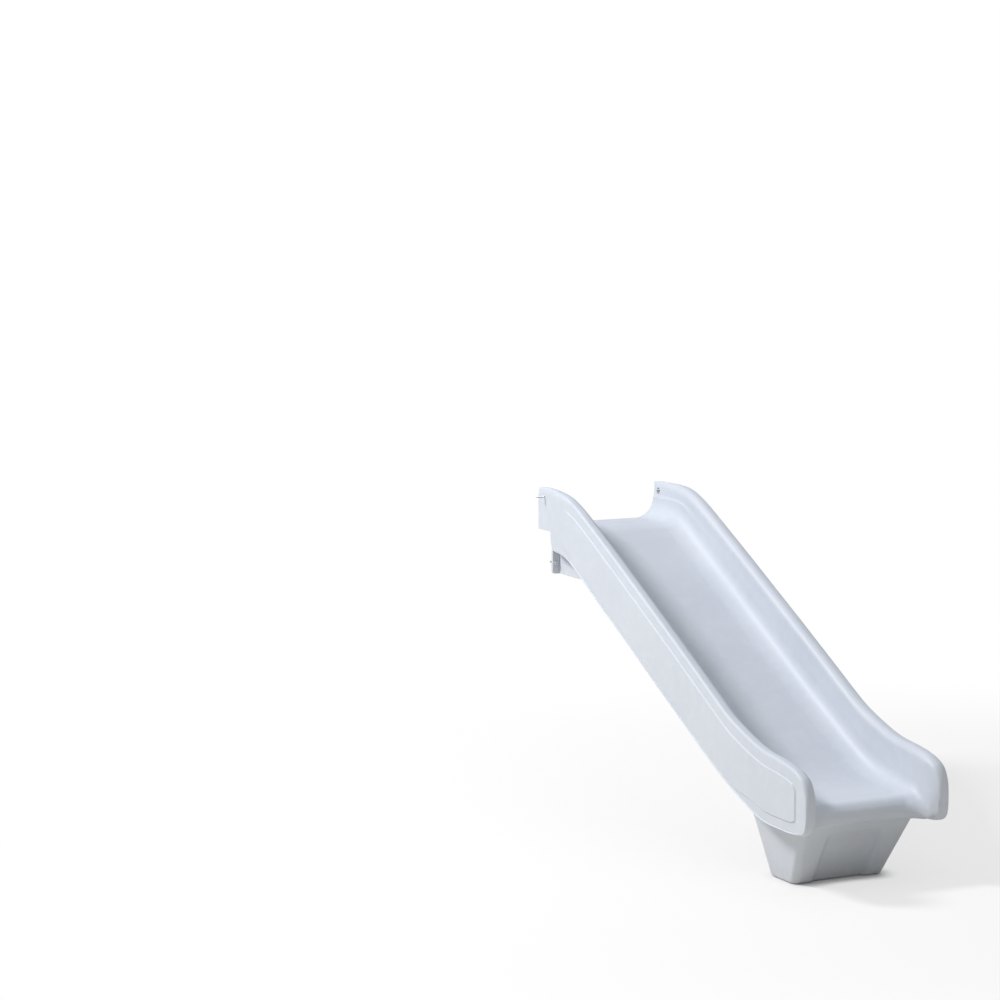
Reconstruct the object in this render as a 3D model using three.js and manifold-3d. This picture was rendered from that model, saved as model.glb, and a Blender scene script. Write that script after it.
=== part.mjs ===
// Straight playground slide: a one-piece hollow polyethylene moulding with its
// fixing screws, washers and vent plug. Millimetres, +Z up.
//
// Frame: the origin is on the ground, under the middle of the foot. +Y runs back and
// up towards the deck, and the slide descends towards -Y. +X is to the right of a
// person looking up the slide from its exit. The body is symmetric about X = 0.
//
// The design is written in (x, run, z): run is the distance from the front of the
// deck posts towards the exit, so y = FOOT_CENTRE_RUN - run.
import * as THREE from 'three';
import { mergeVertices } from 'three/addons/utils/BufferGeometryUtils.js';
import Module from 'manifold-3d';

const wasm = await Module();
wasm.setup();
const { clamp, lerp, smoothstep } = THREE.MathUtils;
const QUARTER_TURN = Math.PI / 2;

// ---------------------------------------------------------------- dimensions
const FOOT_CENTRE_RUN = 1052;   // run of the origin
const BODY_HALF_W = 192;        // outer half width of the rails
const EAR_HALF_W = 176;         // half width where the ears pass between the posts
const INNER_HALF_W = 156.5;     // half width between the rails' inner walls
const WALL = 4;                 // moulded wall thickness
const FLOOR_WALL = WALL + 0.3;  // wall thickness over the undersides
const CAVITY_RUN = 17;          // the ears and lip behind this are solid, for the screws
const REAR_RUN = -35;           // rear edge of the deck lip and ears
const RIM_RUN = 38;             // front face of the deck's rim board
const LIP_Z = 674;              // underside of the deck lip
const LUG_Z = 567;              // underside of the lug in front of the rim board
const LUG_HALF_W = 157;
const CROSS_RUN = 222;          // where the lug's front crosses the line of the rails' bottoms
const CHANNEL_DEPTH = 12;       // depth of the channel under the bed
const FILLET_X = 152;           // side of the fillets between bed and rails
const EDGE_DROP = 10;           // from the rail's top down to its outer edge
const FLANGE = { thickness: 8, top: 668, corner: 8 };
const ROLL = { x: 14, z: 8, length: 27 };     // rolled edge at the mouth
// raised panel on each outer side; top is measured down from the rail's top
const PANEL = { height: 2, top: 31, bevel: 3.5, minStep: 0.8 };
const FOOT = { halfW: 120.5, rear: 1002, front: 1104, taperTop: 158, corner: 17, hemCorner: 16 };
const FOOT_RECESS = { depth: 9, halfW: 64, reach: 14, flare: 0.9 };
const EAR_SCREW = { run: 0, z: 759, length: 45 };
const RIM_SCREW = { x: 167.5, z: 594, length: 38 };
const SCREW_HOLE_R = 3;
const EAR_HOLE_X = 168;         // middle of the ear's screw hole
const SEAT = { x: 158.6, radius: 8, depth: 20 };   // flat seat for the ear washer
const VENT = { run: 120, radius: 5 };
const WASHER_T = 1.2;
const GAP = 0.3;                // clearance between the hardware and what it seats on

// ---------------------------------------------------------------- profiles, [run, z]
// rail top, outer edge
const RAIL_TOP = [[-35, 781], [0, 783.5], [60, 783], [100, 780], [130, 775], [160, 765.5],
  [202, 747.5], [258, 719], [325, 684], [387, 651.5], [453, 616], [520, 580], [576, 550],
  [662, 503.5], [722, 470.5], [792, 432], [862, 393], [930, 357], [984, 336], [1017, 325],
  [1050, 315], [1091, 306.5], [1139, 301], [1177, 295.5]];
// rail bottom from the rim board forward
const RAIL_BOTTOM = [[38, 655], [43, 643], [52, 634], [70, 629], [90, 628], [110, 626.5],
  [135, 621.5], [160, 613.5], [190, 598.5], [232, 576], [262, 558.5], [427, 470],
  [599, 376.5], [810, 264], [900, 217.5], [945, 197], [988, 179], [1015, 168.5],
  [1040, 159.5], [1065, 152.5], [1090, 147.5], [1115, 145.5], [1177, 144]];
// sliding surface on the centreline
const BED = [[-35, 690], [0, 690], [60, 690.5], [95, 689], [125, 682.5], [155, 668],
  [190, 648.5], [225, 629], [258, 611], [930, 248], [965, 231.5], [1000, 218],
  [1040, 206.5], [1080, 200.5], [1125, 197.5], [1177, 195.5]];
// [run, radius] of the fillet between bed and rail
const FILLET = [[-35, 50], [60, 51], [160, 55], [900, 56], [1040, 48], [1177, 34]];
// exit end of a rail, from the top round to the bottom, and the exit lip of the bed;
// entry i above pairs with entry length - 1 - i below
const EXIT_RAIL = [[1177, 295.5], [1206, 288], [1216, 284], [1221.5, 281.5], [1236, 273],
  [1250, 254], [1257.5, 230], [1259, 207], [1259, 185], [1255, 162], [1243, 149],
  [1230, 145.5], [1219, 144.8], [1212, 144.5], [1203, 144.2], [1177, 144]];
const EXIT_LIP = [[1174, 195.6], [1181, 193.5], [1187, 190], [1192, 185.5], [1196.5, 180],
  [1199.5, 173.5], [1201, 167], [1201.2, 161.5], [1200.5, 156.5], [1198, 152], [1194, 149],
  [1189, 147], [1184, 146], [1179, 145.4], [1172, 145], [1160, 144.7]];
const EXIT_RUN = EXIT_RAIL[0][0];
const EXIT_STEPS = EXIT_RAIL.length / 2 - 1;

// shape-preserving cubic through a table of [run, value]
function curve(table) {
  const last = table.length - 1;
  const widths = [];
  const slopes = [];
  for (let i = 0; i < last; i++) {
    widths.push(table[i + 1][0] - table[i][0]);
    slopes.push((table[i + 1][1] - table[i][1]) / widths[i]);
  }
  const tangents = table.map((_, i) => {
    if (i === 0) return slopes[0];
    if (i === last) return slopes[last - 1];
    if (slopes[i - 1] * slopes[i] <= 0) return 0;
    const before = 2 * widths[i] + widths[i - 1];
    const after = widths[i] + 2 * widths[i - 1];
    return (before + after) / (before / slopes[i - 1] + after / slopes[i]);
  });
  return (run) => {
    if (run <= table[0][0]) return table[0][1];
    if (run >= table[last][0]) return table[last][1];
    let i = 0;
    while (run > table[i + 1][0]) i++;
    const part = (run - table[i][0]) / widths[i];
    const square = part * part;
    const cube = square * part;
    return (2 * cube - 3 * square + 1) * table[i][1]
      + (cube - 2 * square + part) * widths[i] * tangents[i]
      + (3 * square - 2 * cube) * table[i + 1][1]
      + (cube - square) * widths[i] * tangents[i + 1];
  };
}
const railTop = curve(RAIL_TOP);
const railBottom = curve(RAIL_BOTTOM);
const bed = curve(BED);
const fillet = curve(FILLET);
// underside between the rails: the lug, then the recessed channel, then flush at the exit
const underside = curve([
  [38, 579], [43, 570.5], [52, LUG_Z], [70, LUG_Z], [190, LUG_Z], [208, LUG_Z + 4],
  [CROSS_RUN, railBottom(CROSS_RUN)], [237, 584],
  ...[262, 427, 599, 810, 900, 945, 988].map((run) => [run, railBottom(run) + CHANNEL_DEPTH]),
  [1015, 176], [1040, 163], [1065, 153], [1090, 147.8], [1177, 144.7],
]);

const outerX = (run) => lerp(EAR_HALF_W, BODY_HALF_W, smoothstep(run, 12, 105));
const railThickness = (run, offset) => outerX(run) - INNER_HALF_W - 2 * offset;

// how far the mouth's edge has rolled over: 0 on the body, 1 at the rear edge
function rollAmount(run) {
  const back = REAR_RUN + ROLL.length - run;
  return back <= 0 ? 0 : 1 - Math.sqrt(1 - (back / ROLL.length) ** 2);
}

// one point of an outline, moved to the outline's inner side
function insetPoint(points, index, distance) {
  const before = points[Math.max(0, index - 1)];
  const after = points[Math.min(points.length - 1, index + 1)];
  const alongRun = after[0] - before[0];
  const alongZ = after[1] - before[1];
  const scale = distance / Math.hypot(alongRun, alongZ);
  return [points[index][0] + alongZ * scale, points[index][1] - alongRun * scale];
}

// ---------------------------------------------------------------- solids
function toSolid(geometry) {
  geometry.deleteAttribute('normal');
  geometry.deleteAttribute('uv');
  const merged = mergeVertices(geometry, 1e-4);
  return new wasm.Manifold(new wasm.Mesh({
    numProp: 3,
    vertProperties: new Float32Array(merged.attributes.position.array),
    triVerts: new Uint32Array(merged.index.array),
  }));
}

function toGeometry(solid) {
  const mesh = solid.getMesh();
  const geometry = new THREE.BufferGeometry();
  const positions = new Float32Array(mesh.vertProperties);
  geometry.setAttribute('position', new THREE.BufferAttribute(positions, 3));
  geometry.setIndex(new THREE.BufferAttribute(new Uint32Array(mesh.triVerts), 1));
  return geometry;
}

// Closed solid through equal loops of [x, run, z], which turn clockwise as seen from
// beyond the last loop. cap lists the triangles that close one loop.
function loftSolid(loops, cap) {
  const size = loops[0].length;
  const triangles = [];
  for (let i = 0; i + 1 < loops.length; i++) {
    for (let k = 0; k < size; k++) {
      const near = i * size + k;
      const nearNext = i * size + ((k + 1) % size);
      const far = near + size;
      const farNext = nearNext + size;
      triangles.push(nearNext, near, farNext, farNext, near, far);
    }
  }
  const last = (loops.length - 1) * size;
  for (const [i, j, k] of cap) triangles.push(j, k, i);
  for (const [i, j, k] of cap) triangles.push(last + j, last + i, last + k);

  const positions = loops.flat().flatMap(([x, run, z]) => [x, FOOT_CENTRE_RUN - run, z]);
  const geometry = new THREE.BufferGeometry();
  geometry.setAttribute('position', new THREE.Float32BufferAttribute(positions, 3));
  geometry.setIndex(triangles);
  return toSolid(geometry);
}

// cap of a convex loop
function fanCap(size) {
  const cap = [];
  for (let k = 1; k + 1 < size; k++) cap.push([0, k, k + 1]);
  return cap;
}

// cap of a skin section: quads between the top and bottom lines, and a fan at each side
function skinCap(size, topCount) {
  const low = size / 2;
  const cap = [];
  for (let k = 0; k + 1 < topCount; k++) {
    const below = low + topCount - 2 - k;
    if (k + 2 === topCount) {                   // +X side
      for (let i = k + 1; i <= low; i++) cap.push([k, i, i + 1]);
    } else if (k === 0) {                       // -X side
      cap.push([0, 1, below]);
      for (let i = below + 1; i < size; i++) cap.push([below, i, (i + 1) % size]);
    } else {
      cap.push([k, k + 1, below], [k, below, below + 1]);
    }
  }
  return cap;
}

// cylinder along x, y or z
const AXIS_ROTATION = { x: [0, 0, QUARTER_TURN], y: [0, 0, 0], z: [QUARTER_TURN, 0, 0] };
function rod({ radius, length, axis, x, run, z, segments }) {
  const matrix = new THREE.Matrix4()
    .makeRotationFromEuler(new THREE.Euler(...AXIS_ROTATION[axis]))
    .setPosition(x, FOOT_CENTRE_RUN - run, z);
  return toSolid(new THREE.CylinderGeometry(radius, radius, length, segments).applyMatrix4(matrix));
}

// ---------------------------------------------------------------- the moulded skins
// Two closed skins: the outside of the moulding and the inside, one wall further in.
// Each half section has a top and a bottom row of lines, numbered from the outer edge:
// 0 to 6 on the rail, 7 to 11 round the fillet, 12 on the bed, 13 on the centreline.
// The tables below are indexed by line.
const RAIL_LAST = 6;
const FILLET_FIRST = 7;
const FILLET_LAST = 11;
const BED_X = { 12: 48, 13: 0 };
const UNDERSIDE_X = { 7: 148, 8: 135, 9: 120, 10: 100, 11: 80, 12: 45, 13: 0 };
// at the front of the exit: inset of the rail lines, and their place across the rail
const FRONT_INSET = [10, 3, 0, 0, 2, 6, 10];
const FRONT_ACROSS = { 3: 0.5, 4: 0.8, 5: 0.93, 6: 1 };
// how far the exit lip's lines are drawn towards the rail's end
const LIP_SPREAD = { 7: 0.66, 8: 0.4, 9: 0.2, 10: 0.07, 11: 0, 12: 0, 13: 0 };
const RAIL_END_INSET = 10;

// stations: [run on top, run below, height below where the lip lies over the rim board]
// topDrop, bottomRise: distance from the rail's top and bottom profiles
// topAcross, bottomAcross: place across the rail, 0 at its outer side
// stepX: half width between the rails' bottoms, at the lug and past it
// stepEdge: from there out to line 5, at the lug and past it
// lugEnd: runs between which the lug gives way to the channel
// frontTrim: how much thinner the rail's inner side is at the exit's front
const OUTER_SKIN = {
  offset: 0,
  floorWall: 0,
  panel: PANEL.height,
  frontTrim: 3,
  lines: [0, 1, 2, 3, 4, 5, 6, 7, 8, 9, 10, 11, 12, 13],
  topDrop: [EDGE_DROP, 3, 0, 2.5, 9, 19, 34],
  topAcross: [0, 0.07, 0.24, 0.56, 0.84, 0.985],
  bottomRise: [3, 0.9, 0, 0, 0, 0, 0],
  bottomAcross: [0, 0.02, 0.08, 0.45, 0.8],
  stepX: [LUG_HALF_W, LUG_HALF_W],
  stepEdge: [0, 3],
  lugEnd: [200, CROSS_RUN],
  stations: [
    [REAR_RUN, REAR_RUN, LIP_Z + 4], [-32, -31, LIP_Z], [-24, -24, LIP_Z], [-15, -15, LIP_Z],
    [-7, -7, LIP_Z], [12, 12, LIP_Z], [37, RIM_RUN, LIP_Z],
    [39, RIM_RUN], [46, 43], [54, 52], [70, 70], [90, 90], [110, 110], [132, 132], [155, 155],
    [185, 185], [208, 208], [CROSS_RUN, CROSS_RUN], [237, 237], [262, 262], [430, 430],
    [600, 600], [810, 810], [900, 900], [945, 945], [985, 985], [1015, 1015], [1045, 1045],
    [1085, 1085], [1130, 1125], [1160, 1150],
  ],
};
const INNER_SKIN = {
  offset: WALL,
  floorWall: FLOOR_WALL,
  panel: 0,
  frontTrim: 0,
  lines: [0, 2, 4, 5, 6, 7, 8, 9, 10, 11, 13],
  topDrop: { 0: 12, 2: 5, 4: 12, 5: 22, 6: 34 },
  topAcross: { 0: 0, 2: 0.25, 4: 0.85, 5: 1 },
  bottomRise: { 0: 9, 2: FLOOR_WALL, 4: FLOOR_WALL, 5: FLOOR_WALL, 6: FLOOR_WALL },
  bottomAcross: { 0: 0, 2: 0.2, 4: 0.8 },
  stepX: [LUG_HALF_W - WALL, LUG_HALF_W + WALL + 3.5],
  stepEdge: [1, 1],
  lugEnd: [CROSS_RUN, CROSS_RUN + 14],
  stations: [
    [CAVITY_RUN, CAVITY_RUN, LIP_Z], [41, RIM_RUN + FLOOR_WALL, LIP_Z],
    [45, RIM_RUN + FLOOR_WALL], [58, 55], [90, 90], [130, 130], [160, 160], [200, 200],
    [CROSS_RUN, CROSS_RUN], [CROSS_RUN + 14, CROSS_RUN + 14], [262, 262], [600, 600],
    [900, 900], [950, 950], [1000, 1000], [1045, 1045], [1090, 1090], [1150, 1145],
  ],
};

const filletAngle = (line) => QUARTER_TURN
  * (Math.min(line, FILLET_LAST) - FILLET_FIRST) / (FILLET_LAST - FILLET_FIRST);

// [x, z] of a top line
function topPoint({ offset, topDrop, topAcross }, run, line) {
  const roll = rollAmount(run);
  if (line <= RAIL_LAST) {
    const z = railTop(run) - topDrop[line];
    if (line === RAIL_LAST) return [INNER_HALF_W - 1 + offset + ROLL.x * roll, z];
    const rolled = line >= 4 ? ROLL.x * roll * (line - 3) / 2 : 0;
    return [outerX(run) - offset - railThickness(run, offset) * topAcross[line] + rolled, z];
  }
  const bedZ = bed(run) - ROLL.z * roll;
  if (line > FILLET_LAST) return [BED_X[line], bedZ - offset];
  const radius = fillet(run);
  const angle = filletAngle(line);
  return [
    FILLET_X - radius + (radius + offset + ROLL.x * roll) * Math.cos(angle),
    bedZ + radius - (radius + offset) * Math.sin(angle),
  ];
}

// [x, z] of a bottom line
function bottomPoint(skin, run, line) {
  const pastLug = smoothstep(run, ...skin.lugEnd);
  const stepX = lerp(...skin.stepX, pastLug);
  if (line >= RAIL_LAST) {
    return [line === RAIL_LAST ? stepX : UNDERSIDE_X[line], underside(run) + skin.floorWall];
  }
  const z = railBottom(run) + skin.bottomRise[line];
  if (line === 5) return [stepX + lerp(...skin.stepEdge, pastLug), z];
  const outer = outerX(run) - skin.offset;
  return [outer - skin.bottomAcross[line] * (outer - stepX - 3), z];
}

// five points down the outer side, round the raised panel
function panelRows([topX, topRun, topZ], [, bottomRun, bottomZ], rise) {
  const run = (topRun + bottomRun) / 2;
  const lowBorder = run < 340
    ? 18 - 14 * smoothstep(run, 230, 340)
    : 4 + 20 * smoothstep(run, 925, 1050);
  const corner = 14 * smoothstep(run, 1198, 1221);
  const upper = Math.max(topZ + EDGE_DROP - PANEL.top - corner, bottomZ + 12 + lowBorder);
  const lower = bottomZ - 3 + lowBorder + corner * 0.5;
  const rows = [
    [upper, 0], [upper - PANEL.bevel, rise], [(upper + lower) / 2, rise],
    [lower + PANEL.bevel, rise], [lower, 0],
  ].map(([z, out]) => [
    topX + out,
    lerp(topRun, bottomRun, clamp((topZ - z) / (topZ - bottomZ), 0, 1)),
    clamp(z, bottomZ + 0.8, topZ - 1),
  ]);
  for (let k = 1; k < rows.length; k++) {
    rows[k][2] = Math.min(rows[k][2], rows[k - 1][2] - PANEL.minStep);
  }
  return rows;
}

// whole section from its +X half: across the top from -X to +X, down the +X side,
// back along the bottom and up the -X side
function sectionLoop(skin, top, bottom, panelRise) {
  const mirror = ([x, run, z]) => [-x, run, z];
  const side = skin.panel ? panelRows(top[0], bottom[0], skin.panel * panelRise) : [];
  return [
    ...top.map(mirror),
    ...top.slice(0, -1).reverse(),
    ...side,
    ...bottom,
    ...bottom.slice(0, -1).reverse().map(mirror),
    ...side.slice().reverse().map(mirror),
  ];
}

function stationLoop(skin, [topRun, bottomRun, lipZ]) {
  const rise = smoothstep(topRun, 120, 185);
  // the border round the raised panel lies lower than the panel
  const border = (line) => (line === 0 ? skin.panel * rise : 0);
  const top = skin.lines.map((line) => {
    const [x, z] = topPoint(skin, topRun, line);
    const rearDrop = line <= RAIL_LAST ? 5 : 2;
    return [x - border(line), topRun, topRun === REAR_RUN ? z - rearDrop : z];
  });
  const bottom = skin.lines.map((line) => {
    const [x, z] = bottomPoint(skin, bottomRun, line);
    return [x - border(line), bottomRun, lipZ === undefined ? z : lipZ + skin.floorWall];
  });
  return sectionLoop(skin, top, bottom, rise);
}

// exit end of a rail line, on its top or its bottom row
function railEndPoint(skin, step, line, below) {
  const { offset, frontTrim } = skin;
  const index = below ? EXIT_RAIL.length - 1 - step : step;
  const startInset = (below ? skin.bottomRise : skin.topDrop)[line];
  const distance = lerp(startInset, FRONT_INSET[line] + offset, step / EXIT_STEPS);
  const [run, z] = insetPoint(EXIT_RAIL, index, distance);
  const [startX] = (below ? bottomPoint : topPoint)(skin, EXIT_RUN, line);
  if (line === 0) return [startX - skin.panel, run, z];
  if (line <= 2) return [startX, run, z];
  if (below && line >= 5) {
    const innerX = INNER_HALF_W + offset + frontTrim - (line === RAIL_LAST ? 1 : 0);
    return [lerp(startX, innerX, smoothstep(step, 0, 5)), run, z];
  }
  const thickness = railThickness(EXIT_RUN, offset) - frontTrim;
  const frontX = BODY_HALF_W - offset - FRONT_ACROSS[line] * thickness;
  return [lerp(startX, frontX, smoothstep(step, 0, EXIT_STEPS)), run, z];
}

// exit end of a fillet or bed line, round the lip
function lipEndPoint(skin, step, line, below) {
  const { offset } = skin;
  const index = below ? EXIT_LIP.length - 1 - step : step;
  const [lipRun, lipZ] = insetPoint(EXIT_LIP, index, offset);
  const [railRun] = insetPoint(EXIT_RAIL, index, RAIL_END_INSET + offset);
  const run = lerp(lipRun, railRun, LIP_SPREAD[line] * smoothstep(step, 0, 4));
  const radius = fillet(EXIT_RUN);
  const height = (radius + offset) * (1 - Math.sin(filletAngle(line)));
  const z = below ? lipZ : lipZ + height * (1 - 0.85 * smoothstep(step, 0, 7.5));
  const [topX] = topPoint(skin, EXIT_RUN, line);
  const [bottomX] = bottomPoint(skin, EXIT_RUN, line);
  const meetX = lerp(bottomX, topX, 0.6);
  return [lerp(below ? bottomX : topX, meetX, smoothstep(step, 0, EXIT_STEPS)), run, z];
}

// the rails run past the lip of the bed
function exitLoop(skin, step) {
  const row = (below) => skin.lines.map((line) => (
    (line <= RAIL_LAST ? railEndPoint : lipEndPoint)(skin, step, line, below)));
  const rise = 1 - smoothstep(EXIT_RAIL[step][0], 1217, 1221);
  return sectionLoop(skin, row(false), row(true), rise);
}

function skinSolid(skin) {
  const loops = skin.stations.map((station) => stationLoop(skin, station));
  for (let step = 0; step <= EXIT_STEPS; step++) loops.push(exitLoop(skin, step));
  return loftSolid(loops, skinCap(loops[0].length, 2 * skin.lines.length - 1));
}

// ---------------------------------------------------------------- foot
const footFront = (z) => FOOT.front + 0.54 * Math.min(z, FOOT.taperTop);
const footRear = (z) => FOOT.rear - 0.27 * z;
const footHalfW = (z) => FOOT.halfW + 0.2 * Math.min(z, FOOT.taperTop);

// hem: [height over the base, inset] of the rounded bottom edge
// neck: [z, half width, z at which the rear is taken, run of the front], inside the body
const OUTER_FOOT = {
  offset: 0,
  frontOffset: 0,
  hem: [[0, 5], [3, 1.5], [8, 0]],
  neck: [[193, 145, 191, 1010], [222, 142, 222, 986]],
};
const INNER_FOOT = {
  offset: WALL,
  frontOffset: WALL + FOOT_RECESS.depth,
  hem: [[0, 4], [6, 0]],
  neck: [[189, 145, 191, 1000]],
};

// horizontal section of the foot: a rectangle with rounded corners
function footLoop(z, halfW, rear, front, radius = FOOT.corner) {
  const segments = 4;
  const loop = [];
  const corners = [                             // [x, run, start angle]
    [halfW - radius, rear + radius, -QUARTER_TURN],
    [halfW - radius, front - radius, 0],
    [-halfW + radius, front - radius, QUARTER_TURN],
    [-halfW + radius, rear + radius, Math.PI],
  ];
  for (const [x, run, start] of corners) {
    for (let k = 0; k <= segments; k++) {
      const angle = start + (k / segments) * QUARTER_TURN;
      loop.push([x + radius * Math.cos(angle), run + radius * Math.sin(angle), z]);
    }
  }
  return loop;
}

function footSolid({ offset, frontOffset, hem, neck }) {
  const taperLoop = (z, inset, radius) => footLoop(z, footHalfW(z) - offset - inset,
    footRear(z) + offset + inset, footFront(z) - frontOffset - inset, radius);
  const loops = [
    ...hem.map(([height, inset]) => taperLoop(offset + height, inset, FOOT.hemCorner - inset)),
    taperLoop(60, 0),
    taperLoop(FOOT.taperTop, 0),
    footLoop(171, footHalfW(171) - offset - 2, footRear(171) + offset, 1130 - offset),
    ...neck.map(([z, halfW, rearZ, front]) => (
      footLoop(z, halfW - offset, footRear(rearZ) + offset, front))),
  ];
  return loftSolid(loops, fanCap(loops[0].length));
}

// the foot's front has a shallow recess between two corner columns
function footRecess() {
  const { depth, halfW, reach, flare } = FOOT_RECESS;
  const loops = [[-6, depth], [112, depth], [132, -2]].map(([z, sink]) => {
    const back = footFront(z) - sink;
    const front = footFront(z) + reach;
    const mouth = halfW + (sink + reach) * flare;
    return [[-halfW, back, z], [halfW, back, z], [mouth, front, z], [-mouth, front, z]];
  });
  return loftSolid(loops, fanCap(4));
}

// ---------------------------------------------------------------- shell
// rim flange: a plate across the lug, in front of the rim board
function rimFlange() {
  const { thickness, top, corner } = FLANGE;
  const cornerX = EAR_HALF_W - corner;
  const cornerZ = LUG_Z + corner;
  const shape = new THREE.Shape();
  shape.moveTo(-cornerX, LUG_Z);
  shape.lineTo(cornerX, LUG_Z);
  shape.absarc(cornerX, cornerZ, corner, -QUARTER_TURN, 0, false);
  shape.lineTo(EAR_HALF_W, top);
  shape.lineTo(-EAR_HALF_W, top);
  shape.absarc(-cornerX, cornerZ, corner, Math.PI, 1.5 * Math.PI, false);
  const options = { depth: thickness, bevelEnabled: false, curveSegments: 5 };
  const plate = new THREE.ExtrudeGeometry(shape, options);
  plate.rotateX(QUARTER_TURN);
  plate.translate(0, FOOT_CENTRE_RUN - RIM_RUN, 0);
  return toSolid(plate);
}

// screw holes, washer seats and the vent hole
function holes() {
  const cuts = [];
  for (const side of [-1, 1]) {
    const ear = { axis: 'x', run: EAR_SCREW.run, z: EAR_SCREW.z };
    cuts.push(
      rod({ ...ear, radius: SCREW_HOLE_R, length: 60, x: side * EAR_HOLE_X, segments: 24 }),
      rod({ ...ear, radius: SEAT.radius, length: SEAT.depth,
        x: side * (SEAT.x - SEAT.depth / 2), segments: 32 }),
      rod({ axis: 'y', radius: SCREW_HOLE_R, length: 30, x: side * RIM_SCREW.x,
        run: RIM_RUN + FLANGE.thickness / 2, z: RIM_SCREW.z, segments: 24 }),
    );
  }
  cuts.push(rod({ axis: 'z', radius: VENT.radius, length: 20, x: 0, run: VENT.run, z: LUG_Z,
    segments: 32 }));
  return cuts;
}

function shellGeometry() {
  const outside = skinSolid(OUTER_SKIN)
    .add(footSolid(OUTER_FOOT))
    .subtract(footRecess())
    .add(rimFlange());
  const inside = skinSolid(INNER_SKIN).add(footSolid(INNER_FOOT));
  return toGeometry(holes().reduce((shell, hole) => shell.subtract(hole),
    outside.subtract(inside)));
}

// ---------------------------------------------------------------- hardware
// solid of revolution about y from a profile of [radius, y]
function lathe(profile, segments) {
  return new THREE.LatheGeometry(profile.map((point) => new THREE.Vector2(...point)), segments);
}

// pan-head screw along y; y = 0 is under the head, the point is at -length
function screwGeometry(length) {
  const body = toSolid(lathe([[0, -length], [1.1, -length + 2.6], [2.5, -length + 7], [2.5, 0],
    [5, 0], [5, 1.4], [4.4, 2.5], [3.1, 3.1], [0, 3.2]], 16));
  const drive = toSolid(new THREE.CylinderGeometry(2, 2, 4, 6).translate(0, 3.2, 0));
  return toGeometry(body.subtract(drive));
}

function washerGeometry() {
  return lathe([[2.8, 0], [7, 0], [7, WASHER_T], [2.8, WASHER_T], [2.8, 0]], 20);
}

function plugGeometry() {
  return lathe([[0, -2], [8, -2], [9, -1.2], [9, 0], [4.7, 0], [4.7, 4.6], [4.6, 5.2],
    [4.6, 6.4], [3.6, 9], [0, 9]], 20);
}

// ---------------------------------------------------------------- materials
const plastic = (color, roughness) => (
  new THREE.MeshStandardMaterial({ color, roughness, metalness: 0 }));
const steel = () => (
  new THREE.MeshStandardMaterial({ color: 0xb9bcc0, roughness: 0.32, metalness: 1 }));

// ---------------------------------------------------------------- assembly
const slide = new THREE.Group();
function add(name, geometry, material, [x, run, z], rotation = [0, 0, 0]) {
  const mesh = new THREE.Mesh(geometry, material);
  mesh.name = name;
  mesh.position.set(x, FOOT_CENTRE_RUN - run, z);
  mesh.rotation.set(...rotation);
  slide.add(mesh);
}

add('slide_shell', shellGeometry(), plastic(0xcdd2de, 0.42), [0, FOOT_CENTRE_RUN, 0]);

const HEAD_GAP = GAP + WASHER_T + GAP;          // from the seat to the screw's head
for (const [name, side] of [['left', -1], ['right', 1]]) {
  const earAt = (gap) => [side * (SEAT.x - gap), EAR_SCREW.run, EAR_SCREW.z];
  const earTurn = [0, 0, side * QUARTER_TURN];
  add(`ear_washer_${name}`, washerGeometry(), steel(), earAt(GAP), earTurn);
  add(`ear_screw_${name}`, screwGeometry(EAR_SCREW.length), steel(), earAt(HEAD_GAP), earTurn);

  const rimAt = (gap) => [side * RIM_SCREW.x, RIM_RUN + FLANGE.thickness + gap, RIM_SCREW.z];
  const rimTurn = [0, 0, Math.PI];
  add(`rim_washer_${name}`, washerGeometry(), steel(), rimAt(GAP), rimTurn);
  add(`rim_screw_${name}`, screwGeometry(RIM_SCREW.length), steel(), rimAt(HEAD_GAP), rimTurn);
}

add('vent_plug', plugGeometry(), plastic(0xb8bdc8, 0.5), [0, VENT.run, LUG_Z - GAP],
  [QUARTER_TURN, 0, 0]);

export default slide;
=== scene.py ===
# Straight playground slide: a hollow moulding with its foot, four screws with washers and a plug.
# Shapes are in millimetres as (x, run, z): x is across, with 0 on the centreline, run goes from
# the deck posts towards the exit and z is the height above the ground. In the scene, in metres,
# run points to -Y and the origin is on the ground at FOOT_CENTRE_RUN.
import bpy
import bmesh
import math
import numpy as np
from mathutils import Matrix, Vector


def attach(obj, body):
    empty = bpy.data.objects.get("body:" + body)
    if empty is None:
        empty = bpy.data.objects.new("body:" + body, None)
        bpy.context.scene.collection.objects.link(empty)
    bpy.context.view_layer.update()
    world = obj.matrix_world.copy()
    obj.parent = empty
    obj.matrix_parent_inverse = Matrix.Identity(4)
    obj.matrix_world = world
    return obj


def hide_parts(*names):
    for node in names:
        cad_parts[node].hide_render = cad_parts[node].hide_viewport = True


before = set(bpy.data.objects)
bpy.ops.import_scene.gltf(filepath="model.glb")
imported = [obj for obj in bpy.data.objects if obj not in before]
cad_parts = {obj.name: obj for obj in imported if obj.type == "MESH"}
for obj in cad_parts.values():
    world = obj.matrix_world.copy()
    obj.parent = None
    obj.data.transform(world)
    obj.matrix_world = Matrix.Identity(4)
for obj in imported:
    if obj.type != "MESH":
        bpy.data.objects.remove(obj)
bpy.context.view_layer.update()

# ------------------------------------------------------------------ dimensions
FOOT_CENTRE_RUN = 1052.0
BODY_HALF_W, EAR_HALF_W, INNER_HALF_W = 192.0, 176.0, 156.5   # rails outside, at the ears, inside
RAIL_W = BODY_HALF_W - INNER_HALF_W
BED_HALF_W = 152.0                # outer end of the fillets beside the bed
REAR_RUN, REAR_ROUND = -35.0, 1.0
RIM_RUN, LIP_Z = 38.0, 674.0      # the flat underside of the lip ends at the rim
LUG_Z, LUG_HALF_W, LUG_STEP = 567.0, 157.0, 3.0
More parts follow.
